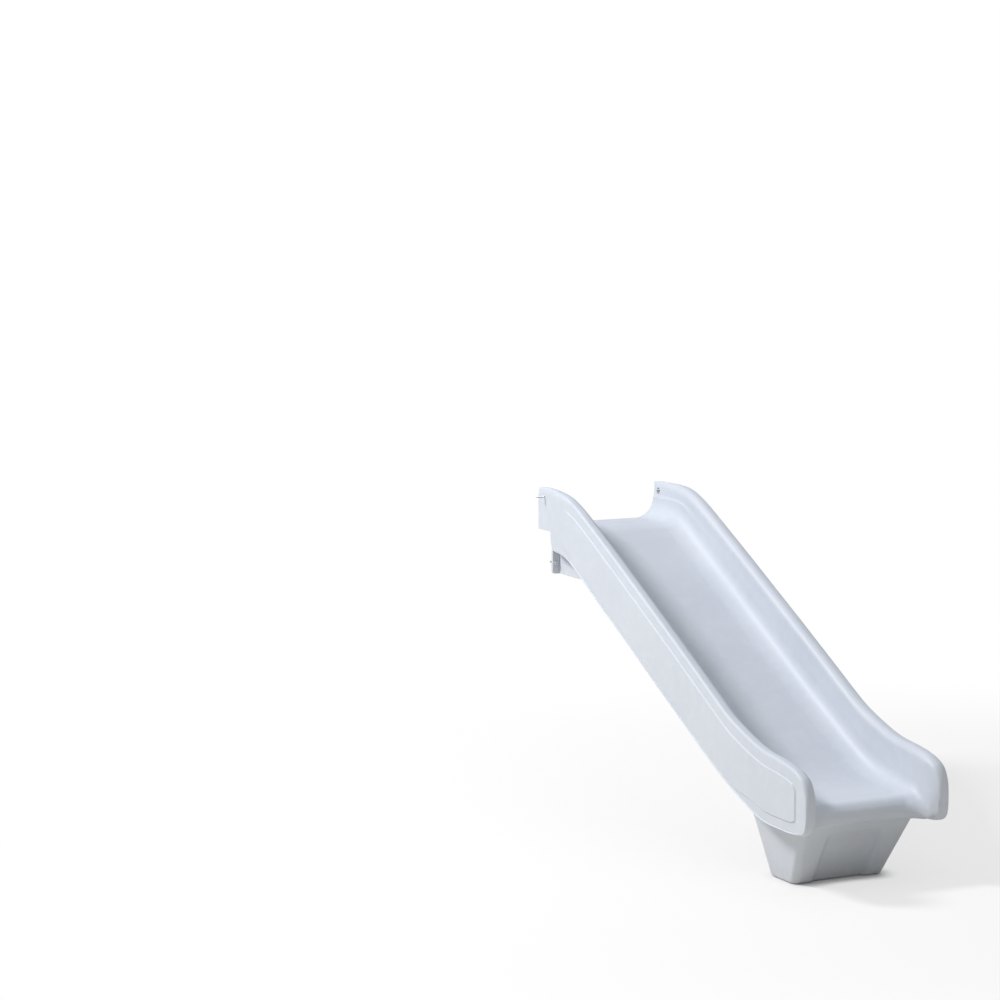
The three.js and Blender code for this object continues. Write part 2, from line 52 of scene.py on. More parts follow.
FLANGE_T, FLANGE_TOP_Z, FLANGE_R = 8.0, 668.0, 8.0
RECESS = 12.0                     # underside of the bed above the underside of the rails
CROSS_RUN = 222.0                 # where the underside crosses the level of the rails' underside
ROLL_X, ROLL_Z, ROLL_LENGTH = 14.0, 8.0, 27.0   # how the trough flares at the rear edge
PANEL, PANEL_DROP = 3.0, 15.3     # side panel: depth, and its edge below the outer top line
PANEL_STEP = 3.6                  # height of the rounded step at the panel's edge
STEP_ROWS = [0, 0.5, 1.1, 1.8, 2.5, 3.1, 3.6]
EXIT_RUN, EXIT_TURN, EXIT_TAPER = 1177, 7, 3.0   # the exit's rings are numbered 0 to EXIT_TURN

FOOT_HALF_W, FOOT_START, FOOT_END, FOOT_TOP_Z = 120.5, 1002.0, 1104.0, 158.0
FOOT_RECESS, FOOT_R = 9.0, 17

EAR_RUN, EAR_Z, SEAT_X = 0.0, 759.0, 158.6
RIM_X, RIM_Z = 167.5, 594.0
SCREW_HOLE_R, SEAT_R = 3.0, 8.0
VENT_RUN, VENT_R = 120.0, 5.0
WASHER_T, GAP = 1.2, 0.3          # GAP is left under each washer, screw head and plug

# side view of the moulding: (run, z)
RAIL_TOP = [
    (-35, 781), (0, 783.5), (60, 783), (100, 780), (130, 775), (160, 765.5), (202, 747.5),
    (258, 719), (325, 684), (387, 651.5), (453, 616), (520, 580), (576, 550), (662, 503.5),
    (722, 470.5), (792, 432), (862, 393), (930, 357), (984, 336), (1017, 325), (1050, 315),
    (1091, 306.5), (1139, 301), (1177, 295.5)]
RAIL_BOTTOM = [
    (38, 655), (43, 643), (52, 634), (70, 629), (90, 628), (110, 626.5), (135, 621.5),
    (160, 613.5), (190, 598.5), (232, 576), (262, 558.5), (427, 470), (599, 376.5), (810, 264),
    (900, 217.5), (945, 197), (988, 179), (1015, 168.5), (1040, 159.5), (1065, 152.5),
    (1090, 147.5), (1115, 145.5), (1177, 144)]
BED = [
    (-35, 690), (0, 690), (60, 690.5), (95, 689), (125, 682.5), (155, 668), (190, 648.5),
    (225, 629), (258, 611), (930, 248), (965, 231.5), (1000, 218), (1040, 206.5),
    (1080, 200.5), (1125, 197.5), (1177, 195.5)]
# radius between the bed and the rails: (run, radius)
FILLET = [(-35, 50), (60, 51), (160, 55), (900, 56), (1040, 48), (1177, 34)]
# outlines around the exit, from the top over the nose to the underside: (run, z)
EXIT_RAIL = [
    (1177, 295.5), (1206, 288), (1216, 284), (1221.5, 281.5), (1236, 273), (1250, 254),
    (1257.5, 230), (1259, 207), (1259, 185), (1255, 162), (1243, 149), (1230, 145.5),
    (1219, 144.8), (1212, 144.5), (1203, 144.2), (1177, 144)]
EXIT_LIP = [
    (1174, 195.6), (1181, 193.5), (1187, 190), (1192, 185.5), (1196.5, 180), (1199.5, 173.5),
    (1201, 167), (1201.2, 161.5), (1200.5, 156.5), (1198, 152), (1194, 149), (1189, 147),
    (1184, 146), (1179, 145.4), (1172, 145), (1160, 144.7)]
EXIT_LAST = len(EXIT_RAIL) - 1


# ------------------------------------------------------------------ curves
def curve(table):
    """Shape-preserving cubic through a table of (x, y), level beyond its ends."""
    knots = [float(point[0]) for point in table]
    values = [float(point[1]) for point in table]
    count = len(knots)
    widths = [knots[i + 1] - knots[i] for i in range(count - 1)]
    slopes = [(values[i + 1] - values[i]) / widths[i] for i in range(count - 1)]
    tangents = [slopes[0]]
    for i in range(1, count - 1):
        if slopes[i - 1] * slopes[i] <= 0:
            tangents.append(0.0)
        else:
            before = 2 * widths[i] + widths[i - 1]
            after = widths[i] + 2 * widths[i - 1]
            tangents.append((before + after) / (before / slopes[i - 1] + after / slopes[i]))
    tangents.append(slopes[-1])

    def value_at(x):
        if x <= knots[0]:
            return values[0]
        if x >= knots[-1]:
            return values[-1]
        i = 0
        while x > knots[i + 1]:
            i += 1
        part = (x - knots[i]) / widths[i]
        square, cube = part * part, part * part * part
        return ((2 * cube - 3 * square + 1) * values[i]
                + (cube - 2 * square + part) * widths[i] * tangents[i]
                + (3 * square - 2 * cube) * values[i + 1]
                + (cube - square) * widths[i] * tangents[i + 1])
    return value_at


def over(values):
    """Curve over the index of a list."""
    return curve(list(enumerate(values)))


def clamp01(value):
    return min(1.0, max(0.0, value))


def smooth(start, end, value):
    part = clamp01((value - start) / (end - start))
    return part * part * (3 - 2 * part)


def lerp(start, end, part):
    return start + (end - start) * part


def blend(start, end, part):
    return [lerp(a, b, part) for a, b in zip(start, end)]


rail_top, rail_bottom = curve(RAIL_TOP), curve(RAIL_BOTTOM)
bed, fillet = curve(BED), curve(FILLET)
underside = curve(
    [(38, 579), (43, 570.5), (52, LUG_Z), (70, LUG_Z), (190, LUG_Z), (208, LUG_Z + 4),
     (CROSS_RUN, rail_bottom(CROSS_RUN)), (237, 584)]
    + [(run, z + RECESS) for run, z in RAIL_BOTTOM if 262 <= run <= 988]
    + [(1015, 176), (1040, 163), (1065, 153), (1090, 147.8), (1177, 144.7)])
exit_rail_run, exit_rail_z = (over(column) for column in zip(*EXIT_RAIL))
exit_lip_run, exit_lip_z = (over(column) for column in zip(*EXIT_LIP))

# Lengthwise lines are numbered across half the section, from the outer edge to the centreline.
# Above: 0-6 rail top, 6-7 inner wall, 7-11 fillet, 11-13 bed.
# Below: 0-5 rail underside, 5-6 step to the bed's underside, 6-13 bed's underside.
top_across = over([0, 0.09, 0.27, 0.56, 0.84, 0.985, 1.0])      # share of the rail's width
top_drop = over([15, 5.6, 0.9, 0.6, 7.5, 18.5, 34])
bottom_across = over([0, 0.02, 0.08, 0.45, 0.8])
bottom_rise = over([3, 0.9, 0, 0, 0])
under_x = over([157, 157, 157, 157, 157, 157, 157, 148, 135, 120, 100, 80, 45, 0])
exit_inset = over([12, 4.6, 0.6, 0, 2, 6, 10])                  # rail end, inside its outline
exit_across = over([0, 0.07, 0.24, 0.5, 0.8, 0.93, 1.0])
exit_spread = over([0, 0, 0, 0, 0, 0, 0.9, 0.66, 0.4, 0.2, 0.07, 0, 0, 0])   # lip towards rail


def outer_x(run):
    return lerp(EAR_HALF_W, BODY_HALF_W, smooth(12, 105, run))


def roll(run):
    """Quarter-round flare: 1 at the rear edge, 0 from ROLL_LENGTH on."""
    left = REAR_RUN + ROLL_LENGTH - run
    if left <= 0:
        return 0.0
    return 1 - math.sqrt(max(0.0, 1 - (left / ROLL_LENGTH) ** 2))


def rail_inset(index, depth):
    """Point on the exit outline of the rail, moved inwards by depth."""
    before, after = max(0.0, index - 0.6), min(float(EXIT_LAST), index + 0.6)
    along_run = exit_rail_run(after) - exit_rail_run(before)
    along_z = exit_rail_z(after) - exit_rail_z(before)
    length = math.hypot(along_run, along_z)
    return (exit_rail_run(index) + (along_z / length) * depth,
            exit_rail_z(index) - (along_run / length) * depth)


# ------------------------------------------------------------------ section of the moulding
def top_line(run, line):
    """(x, z) of an upper line."""
    outer, flare, radius = outer_x(run), roll(run), fillet(run)
    if line <= 6:
        x = outer - (outer - INNER_HALF_W) * top_across(line) - clamp01(line - 5)
        if line > 3:
            x += ROLL_X * flare * (min(line, 5) - 3) / 2
        return x, rail_top(run) - top_drop(line)
    if line < 7:
        return blend(top_line(run, 6), top_line(run, 7), line - 6)
    bed_z = bed(run) - ROLL_Z * flare
    flat_x = BED_HALF_W - radius
    if line <= 11:
        angle = (line - 7) / 4 * math.pi / 2
        return (flat_x + radius * math.cos(angle) + ROLL_X * flare * math.cos(angle),
                bed_z + radius - radius * math.sin(angle))
    return flat_x * (13 - line) / 2, bed_z


def bottom_line(run, line):
    """(x, z) of a lower line."""
    if line <= 4:
        outer = outer_x(run)
        return (outer - bottom_across(line) * (outer - LUG_HALF_W - LUG_STEP),
                rail_bottom(run) + bottom_rise(line))
    rail_corner = (LUG_HALF_W + LUG_STEP * smooth(200, CROSS_RUN, run), rail_bottom(run))
    if line <= 5:
        return blend(bottom_line(run, 4), rail_corner, line - 4)
    if line <= 6:
        return blend(rail_corner, (LUG_HALF_W, underside(run)), line - 5)
    return min(under_x(line), LUG_HALF_W - LUG_STEP * min(1.0, line - 6)), underside(run)


TOP_LINES = (
    [0, 0.3, 0.65, 1, 1.33, 1.67, 2, 2.33, 2.67, 3, 3.33, 3.67, 4, 4.33, 4.67, 5, 5.33, 5.67,
     6, 6.2, 6.4, 6.6, 6.8]
    + [7 + 0.25 * k for k in range(17)] + [11.3, 11.65, 12, 12.35, 12.7, 13])
# the same number of lines below, gathered at the rail's inner corners
BOTTOM_LINES = [
    0, 0.3, 0.65, 1, 1.5, 2, 2.5, 3, 3.4, 3.8, 4.2, 4.6, 4.8, 4.9, 4.96, 5, 5.05, 5.12, 5.25,
    5.5, 5.75, 5.88, 5.95, 6, 6.04, 6.1, 6.2, 6.4, 6.7, 7, 7.4, 7.8, 8.2, 8.6, 9, 9.4, 9.8,
    10.2, 10.5, 10.8, 11.1, 11.5, 12, 12.35, 12.7, 13]


def side_rows(top_edge, bottom_edge, share):
    """Points down the +x side, sunk by the panel; share is how much of the panel is there."""
    top_z, bottom_z = top_edge[2], bottom_edge[2]
    run = (top_edge[1] + bottom_edge[1]) / 2
    if run < 340:
        margin = 18 - 14 * smooth(230, 340, run)
    else:
        margin = 4 + 20 * smooth(925, 1050, run)
    corner = 14 * smooth(1198, 1221, run)
    panel_top = max(top_z - PANEL_DROP - corner, bottom_z + 12 + margin)
    panel_bottom = bottom_z - 3.7 + margin + corner * 0.5
    step_in = [smooth(0, PANEL_STEP, drop) for drop in STEP_ROWS]
    depths = step_in + [1.0] * 5 + step_in[::-1]
    heights = [panel_top - drop for drop in STEP_ROWS]
    heights += [lerp(panel_top - PANEL_STEP, panel_bottom + PANEL_STEP, k / 6)
                for k in range(1, 6)]
    heights += [panel_bottom + PANEL_STEP - drop for drop in STEP_ROWS]
    count = len(heights)
    evenness = 1 - share if run > 600 else 0.0
    rows = []
    for k in range(count):
        z = min(top_z - 0.4, max(bottom_z + 0.4, heights[k]))
        z = lerp(z, lerp(top_z, bottom_z, (k + 1) / (count + 1)), evenness)
        down = clamp01((top_z - z) / max(1e-6, top_z - bottom_z))
        rows.append([top_edge[0] + PANEL * depths[k] * share,
                     lerp(top_edge[1], bottom_edge[1], down), z])
    # keep the rows in order from top to bottom
    for k in range(1, count):
        rows[k][2] = min(rows[k][2], rows[k - 1][2] - 0.05)
    for k in range(count - 2, -1, -1):
        rows[k][2] = max(rows[k][2], rows[k + 1][2] + 0.05)
    return rows


def mirrored(points):
    return [[-x, run, z] for x, run, z in points]


def make_ring(top, bottom, share):
    """Closed loop: over the top from -x to +x, down the +x side, back below, up the -x side."""
    rows = side_rows(top[0], bottom[0], share)
    return (mirrored(top) + top[:-1][::-1] + rows
            + bottom + mirrored(bottom[:-1])[::-1] + mirrored(rows)[::-1])


def shrink(ring, distance):
    """Move a ring's points inwards along its averaged normals."""
    points = np.array(ring)[:, [0, 2]]
    tangent = np.roll(points, -1, 0) - np.roll(points, 1, 0)
    normal = np.stack([tangent[:, 1], -tangent[:, 0]], 1)
    normal /= np.maximum(1e-9, np.linalg.norm(normal, axis=1))[:, None]
    normal = (normal + np.roll(normal, 1, 0) + np.roll(normal, -1, 0)) / 3
    for point, (x, z) in zip(ring, points + normal * distance):
        point[0], point[2] = float(x), float(z)


def station(top_run, bottom_run, lip=False):
    """Ring across the slide; with lip, its underside is flat at LIP_Z."""
    share = smooth(120, 185, top_run)
    top, bottom = [], []
    for line in TOP_LINES:
        x, z = top_line(top_run, line)
        top.append([x - PANEL * share * max(0.0, 1 - line), top_run, z])
    for above, line in zip(TOP_LINES, BOTTOM_LINES):
        if lip:
            x, z = top_line(20, above)[0] * outer_x(bottom_run) / outer_x(20), LIP_Z
            if bottom and line < 13:
                x = min(x, bottom[-1][0] - 0.03)
        else:
            x, z = bottom_line(bottom_run, line)
            x -= PANEL * share * max(0.0, 1 - line)
        bottom.append([x, bottom_run, z])
    return make_ring(top, bottom, share)


def exit_rail_point(turn, line, below):
    whole = bottom_rise(line) if below else top_drop(line)
    done = turn / EXIT_TURN
    run, z = rail_inset(EXIT_LAST - turn if below else turn,
                        whole * (1 - done) + exit_inset(line) * done)
    top_x = top_line(EXIT_RUN, line)[0]
    base = bottom_line(EXIT_RUN, line)[0] if below else top_x
    end = top_x
    if line > 2:
        end = BODY_HALF_W - exit_across(line) * (RAIL_W - EXIT_TAPER * clamp01(line - 2))
    x = lerp(base, end, smooth(0, EXIT_TURN, turn))
    if below and line > 4:
        x = lerp(x, lerp(base, end, smooth(0, 5, turn)), min(1.0, line - 4))
    return [x - PANEL * max(0.0, 1 - line), run, z]


def exit_lip_point(turn, line, below):
    index = EXIT_LAST - turn if below else turn
    rail_run = rail_inset(index, 10)[0]
    run = lerp(exit_lip_run(index), rail_run, exit_spread(line) * smooth(0, 4, turn))
    z = exit_lip_z(index)
    if not below:
        radius = fillet(EXIT_RUN)
        angle = (min(line, 11) - 7) / 4 * math.pi / 2
        height = radius - radius * math.sin(angle)
        z += height * (1 - 0.85 * smooth(0, EXIT_LAST / 2, turn))
    top_x, bottom_x = top_line(EXIT_RUN, line)[0], bottom_line(EXIT_RUN, line)[0]
    x = lerp(bottom_x if below else top_x, lerp(bottom_x, top_x, 0.6),
             smooth(0, EXIT_TURN, turn))
    return [x, run, z]


def exit_point(turn, line, below):
    if line <= 6:
        return exit_rail_point(turn, line, below)
    if line < 7:
        return blend(exit_rail_point(turn, 6, below), exit_lip_point(turn, 7, below), line - 6)
    return exit_lip_point(turn, line, below)


def exit_ring(turn):
    """Ring around the exit, where upper and lower lines close in on each other."""
    top = [exit_point(turn, line, False) for line in TOP_LINES]
    bottom = [exit_point(turn, line, True) for line in BOTTOM_LINES]
    return make_ring(top, bottom, 1 - smooth(1216.5, 1221, exit_rail_run(turn)))


# ------------------------------------------------------------------ meshes
def mesh_from(name, verts, faces):
    mesh = bpy.data.meshes.new(name)
    mesh.from_pydata([tuple(v) for v in verts], [], faces)
    mesh.validate()
    mesh.update()
    piece = bpy.data.objects.new(name, mesh)
    bpy.context.scene.collection.objects.link(piece)
    return piece


def to_scene(point):
    return point[0] / 1000, (FOOT_CENTRE_RUN - point[1]) / 1000, point[2] / 1000


def fix_normals(piece):
    bm = bmesh.new()
    bm.from_mesh(piece.data)
    bmesh.ops.remove_doubles(bm, verts=bm.verts, dist=2e-6)
    bmesh.ops.dissolve_degenerate(bm, dist=1e-6, edges=bm.edges)
    bmesh.ops.recalc_face_normals(bm, faces=bm.faces)
    if bm.calc_volume(signed=True) < 0:
        bmesh.ops.reverse_faces(bm, faces=bm.faces)
    bm.to_mesh(piece.data)
    bm.free()


def skin(rings):
    """Scene points and quads of equal rings, without end faces."""
    size = len(rings[0])
    faces = []
    for i in range(len(rings) - 1):
        for k in range(size):
            a, b = i * size + k, i * size + (k + 1) % size
            faces.append((a, b, b + size, a + size))
    return [to_scene(point) for ring in rings for point in ring], faces


def loft(name, rings):
    """Closed body from equal rings, with n-gon end faces."""
    verts, faces = skin(rings)
    size, last = len(rings[0]), len(verts) - len(rings[0])
    faces.append(tuple(range(size))[::-1])
    faces.append(tuple(range(last, last + size)))
    piece = mesh_from(name, verts, faces)
    fix_normals(piece)
    return piece


def body_mesh():
    rings = []
    for k in range(7):                                     # rounded rear edge
        angle = k / 6 * math.pi / 2
        run = REAR_RUN + REAR_ROUND * (1 - math.cos(angle))
        ring = station(run, run, lip=True)
        shrink(ring, REAR_ROUND * (1 - math.sin(angle)))
        rings.append(ring)
    for run in (-33, -31.5, -30, -28.5, -27, -24, -21, -18, -15, -12, -9, -6, -2,
                3, 8, 13, 19, 25, 31, 36):
        rings.append(station(run, run, lip=True))
    rings.append(station(37.6, RIM_RUN, lip=True))
    # runs of the top and the underside, which drops steeply behind the rim
    for top_run, bottom_run in ((38.4, 38.05), (40, 38.8), (42.5, 40.5), (46, 43),
                                (50, 47.5), (54, 52), (62, 61), (70, 70)):
        rings.append(station(top_run, bottom_run))
    run = 75.0
    while run < 1117:
        rings.append(station(run, run))
        run += 4.5 if (run < 260 or run > 930) else 7.5
    for k in range(11):
        rings.append(station(1121 + 4.9 * k, 1120 + 3.4 * k))
    turns = ([0.25 * k for k in range(8)] + [2 + 0.1 * k for k in range(10)]
             + [3 + 0.25 * k for k in range(17)])
    rings += [exit_ring(turn) for turn in turns]

    verts, faces = skin(rings)
    size = len(rings[0])
    top = 2 * len(TOP_LINES) - 1                           # points over the top of a ring
    low = top + (size - 2 * top) // 2                      # first point of the underside
    arm = next(k for k, line in enumerate(TOP_LINES) if line >= 7.5)
    # end faces: a face for each arm, strips between them
    for first, inner in ((0, arm), (len(verts) - size, 1)):
        end = [(first + k, first + k + 1, first + low + top - 2 - k, first + low + top - 1 - k)
               for k in range(inner, top - 1 - inner)]
        end.append(tuple(range(first + top - 1 - inner, first + low + inner + 1)))
        end.append(tuple(range(first + low + top - 1 - inner, first + size))
                   + tuple(range(first, first + inner + 1)))
        faces += [face[::-1] for face in end] if first == 0 else end
    piece = mesh_from("slide_moulding", verts, faces)
    fix_normals(piece)
    return piece


def arc(centre_a, centre_b, radius, start):
    """Nine points on a quarter circle."""
    angles = [start + k / 8 * math.pi / 2 for k in range(9)]
    return [(centre_a + radius * math.cos(a), centre_b + radius * math.sin(a)) for a in angles]


# ------------------------------------------------------------------ foot
def foot_ring(z, half_w, start, end, radius=FOOT_R):
    """Rounded rectangle at one height; the exit side is sampled closely for its recesses."""
    x_in, start_in, end_in = half_w - radius, start + radius, end - radius
    points = arc(x_in, start_in, radius, -math.pi / 2)
    points += [(half_w, lerp(start_in, end_in, k / 16)) for k in range(1, 16)]
    points += arc(x_in, end_in, radius, 0)
    for k in range(1, 72):                                 # recessed low down at both sides
        x = lerp(x_in, -x_in, k / 72)
        side = 1 - smooth(62.5, 74.5, abs(x))
        points.append((x, end - FOOT_RECESS * side * (1 - smooth(108, 131, z))))
    points += arc(-x_in, end_in, radius, math.pi / 2)
    points += [(-half_w, lerp(end_in, start_in, k / 16)) for k in range(1, 16)]
    points += arc(-x_in, start_in, radius, math.pi)
    points += [(lerp(-x_in, x_in, k / 24), start) for k in range(1, 24)]
    return [[x, run, z] for x, run in points]


def foot_mesh():
    def end_at(z):
        return FOOT_END + 0.54 * min(z, FOOT_TOP_Z)

    def start_at(z):
        return FOOT_START - 0.27 * z

    def half_w_at(z):
        return FOOT_HALF_W + 0.2 * min(z, FOOT_TOP_Z)

    rings = []
    for k in range(6):                                     # rounded bottom edge
        angle = k / 5 * math.pi / 2
        z, inset = 6 * (1 - math.cos(angle)), 5 * (1 - math.sin(angle))
        rings.append(foot_ring(z, half_w_at(z) - inset, start_at(z) + inset,
                               end_at(z) - inset, FOOT_R - inset * 0.6))
    z = 9.0
    while z < FOOT_TOP_Z:
        rings.append(foot_ring(z, half_w_at(z), start_at(z), end_at(z)))
        z += 3.5
    z = FOOT_TOP_Z
    rings.append(foot_ring(z, half_w_at(z), start_at(z), end_at(z)))
    # the top runs into the moulding
    rings.append(foot_ring(171, half_w_at(171) - 2, start_at(171), 1130))
    rings.append(foot_ring(193, 145, start_at(191), 1010))
    rings.append(foot_ring(222, 142, start_at(222), 986))
    return loft("foot_tmp", rings)


def flange_mesh():
    rings = []
    for depth, inset in ((0, 0.8), (0.25, 0.3), (0.8, 0), (FLANGE_T - 1.6, 0),
                         (FLANGE_T - 0.8, 0.3), (FLANGE_T - 0.25, 0.9), (FLANGE_T, 1.6)):
        half_w, low = EAR_HALF_W - inset, LUG_Z + inset
        x_in, z_in = half_w - FLANGE_R, low + FLANGE_R
        outline = arc(x_in, z_in, FLANGE_R, -math.pi / 2)
        outline += [(half_w, 620.0), (half_w, FLANGE_TOP_Z)]
        outline += [(-half_w, FLANGE_TOP_Z), (-half_w, 620.0)]
        outline += arc(-x_in, z_in, FLANGE_R, math.pi)
        rings.append([[x, RIM_RUN + depth, z] for x, z in outline])
    return loft("flange_tmp", rings)


# ------------------------------------------------------------------ cutting and shading
def rod(name, axis, centre, start, end, radius):
    """Cylinder along axis 0 (x), 1 (run) or 2 (z), from start to end measured from centre."""
    rings = []
    for along in (start, end):
        ring = []
        for k in range(48):
            angle = 2 * math.pi * k / 48
            offset = [radius * math.cos(angle), radius * math.sin(angle)]
            offset.insert(axis, along)
            ring.append([c + d for c, d in zip(centre, offset)])
        rings.append(ring)
    return loft(name, rings)


def boolean(piece, other, operation):
    modifier = piece.modifiers.new("b", "BOOLEAN")
    modifier.operation = operation
    modifier.solver = "EXACT"
    modifier.object = other
    graph = bpy.context.evaluated_depsgraph_get()
    mesh = bpy.data.meshes.new_from_object(piece.evaluated_get(graph), depsgraph=graph)
    piece.modifiers.clear()
    old = piece.data
    piece.data = mesh
    bpy.data.meshes.remove(old)
    bpy.data.objects.remove(other, do_unlink=True)


def tidy(piece, sharp_degrees):
    """Smooth shading with sharp edges kept where the surface really turns."""
    bm = bmesh.new()
    bm.from_mesh(piece.data)
    bmesh.ops.remove_doubles(bm, verts=bm.verts, dist=4e-6)
    bmesh.ops.dissolve_degenerate(bm, dist=2e-6, edges=bm.edges)
    big = [face for face in bm.faces if len(face.verts) > 4]
    if big:
        bmesh.ops.triangulate(bm, faces=big, quad_method="BEAUTY", ngon_method="BEAUTY")
    for face in bm.faces:
        face.smooth = True
    limit = math.radians(sharp_degrees)
    for edge in bm.edges:
        edge.smooth = not (len(edge.link_faces) == 2 and edge.calc_face_angle(0.0) > limit)
    bm.to_mesh(piece.data)
    bm.free()
    modifier = piece.modifiers.new("normals", "WEIGHTED_NORMAL")
    modifier.keep_sharp = True
    modifier.weight = 60


# ------------------------------------------------------------------ hardware
def turned(name, loops, origin, head, closed_ring=False):
    """Turned part from loops of (radius, height, angle); head is its axis in the scene."""
    centre = Vector(to_scene(origin))
    axis = Vector(head).normalized()
    side = axis.orthogonal().normalized()
    other_side = axis.cross(side)
    verts = []
    for loop in loops:
        for radius, height, angle in loop:
            out = side * math.cos(angle) + other_side * math.sin(angle)
            verts.append(centre + out * (radius / 1000) + axis * (height / 1000))
    faces, count, size = [], len(loops), len(loops[0])
    for i in range(count if closed_ring else count - 1):
        for k in range(size):
            row, following, beside = i * size, (i + 1) % count * size, (k + 1) % size
            faces.append((row + k, row + beside, following + beside, following + k))
    if not closed_ring:
        for first, height in ((0, loops[0][0][1]), ((count - 1) * size, loops[-1][0][1])):
            verts.append(centre + axis * (height / 1000))
            middle = len(verts) - 1
            for k in range(size):
                a, b = first + k, first + (k + 1) % size
                faces.append((a, b, middle) if first else (b, a, middle))
    piece = mesh_from(name, verts, faces)
    fix_normals(piece)
    tidy(piece, sharp_degrees=32)
    return piece


def loops_of(profile, segments, shape=lambda radius, angle: radius):
    """Loops from a (radius, height) profile; shape varies the radius with the angle."""
    angles = [2 * math.pi * k / segments for k in range(segments)]
    return [[(shape(radius, a), height, a) for a in angles] for radius, height in profile]


def hexagon(radius, angle):
    from_flat = (angle % (math.pi / 3)) - math.pi / 6
    return radius * math.cos(math.pi / 6) / math.cos(from_flat)


def screw_mesh(name, length, plain, origin, head):
    """Screw with a pointed thread, a plain shank below the head and a hexagon socket."""
    segments, pitch = 48, 1.8
    envelope = curve([(-length, 0.25), (-length + 1.2, 0.8), (-length + 2.6, 1.25),
                      (-length + 7, 2.5), (0, 2.5)])
    loops, z = [], -length
    while z < -0.05:
        threaded = (smooth(-length + 0.5, -length + 2.5, z)
                    * (1 - smooth(-plain - 1.5, -plain, z)))
        core = lerp(0.97, 0.74, threaded)
        loop = []
        for k in range(segments):
            angle = 2 * math.pi * k / segments
            phase = (z / pitch - angle / (2 * math.pi)) % 1.0
            crest = max(0.0, 1 - abs(phase - 0.5) / 0.30)
            crest = crest * crest * (3 - 2 * crest)
            loop.append((envelope(z) * (core + 0.26 * crest * threaded), z, angle))
        loops.append(loop)
        z += 0.26 if z < -plain else 0.9
    loops += loops_of([(2.45, 0.0), (4.6, 0.0), (4.88, 0.06), (5.0, 0.25), (5.0, 1.15),
                       (4.94, 1.6), (4.76, 2.05), (4.42, 2.5), (3.95, 2.82), (3.4, 3.04),
                       (2.8, 3.16), (2.4, 3.2)], segments)
    loops += loops_of([(2.12, 3.2), (2.0, 3.06), (2.0, 2.2), (2.0, 1.25), (1.9, 1.15)],
                      segments, hexagon)
    loops += loops_of([(0.9, 0.95), (0.2, 0.85)], segments)
    return turned(name, loops, origin, head)


def washer_mesh(name, origin, head):
    profile = [(2.8, 0.2), (2.86, 0.06), (3.0, 0.0), (6.8, 0.0), (6.94, 0.06), (7.0, 0.2),
               (7.0, WASHER_T - 0.2), (6.94, WASHER_T - 0.06), (6.8, WASHER_T),
               (3.0, WASHER_T), (2.86, WASHER_T - 0.06), (2.8, WASHER_T - 0.2)]
    return turned(name, loops_of(profile, 64), origin, head, closed_ring=True)


def plug_mesh(name, origin):
    def grip(radius, angle):
        """24 fine grooves around the rim."""
        depth = 0.16 if radius > 8.5 else 0.0
        return radius - depth * (0.5 + 0.5 * math.cos(24 * angle)) ** 3

    profile = [(0.6, -1.45), (2.6, -1.48), (3.1, -1.6), (3.5, -1.88), (4.0, -2.0), (7.3, -2.0),
               (8.2, -1.85), (8.75, -1.45), (9.0, -0.9), (9.0, -0.2), (8.85, 0.0), (4.9, 0.0),
               (4.7, 0.2), (4.7, 4.4), (4.9, 4.9), (4.92, 5.3), (4.7, 6.2), (4.2, 7.7),
               (3.6, 8.8), (3.2, 9.0), (0.6, 9.0)]
    return turned(name, loops_of(profile, 96, grip), origin, (0, 0, 1))


# ------------------------------------------------------------------ materials
def feed(tree, node, inputs):
    """Link or set inputs, given by name or index."""
    for key, value in inputs.items():
        if isinstance(value, bpy.types.NodeSocket):
            tree.links.new(value, node.inputs[key])
        else:
            node.inputs[key].default_value = value


def add_node(tree, kind, inputs, **settings):
    node = tree.nodes.new("ShaderNode" + kind)
    for key, value in settings.items():
        setattr(node, key, value)
    feed(tree, node, inputs)
    return node


def math_node(tree, operation, *values):
    return add_node(tree, "Math", dict(enumerate(values)), operation=operation).outputs[0]


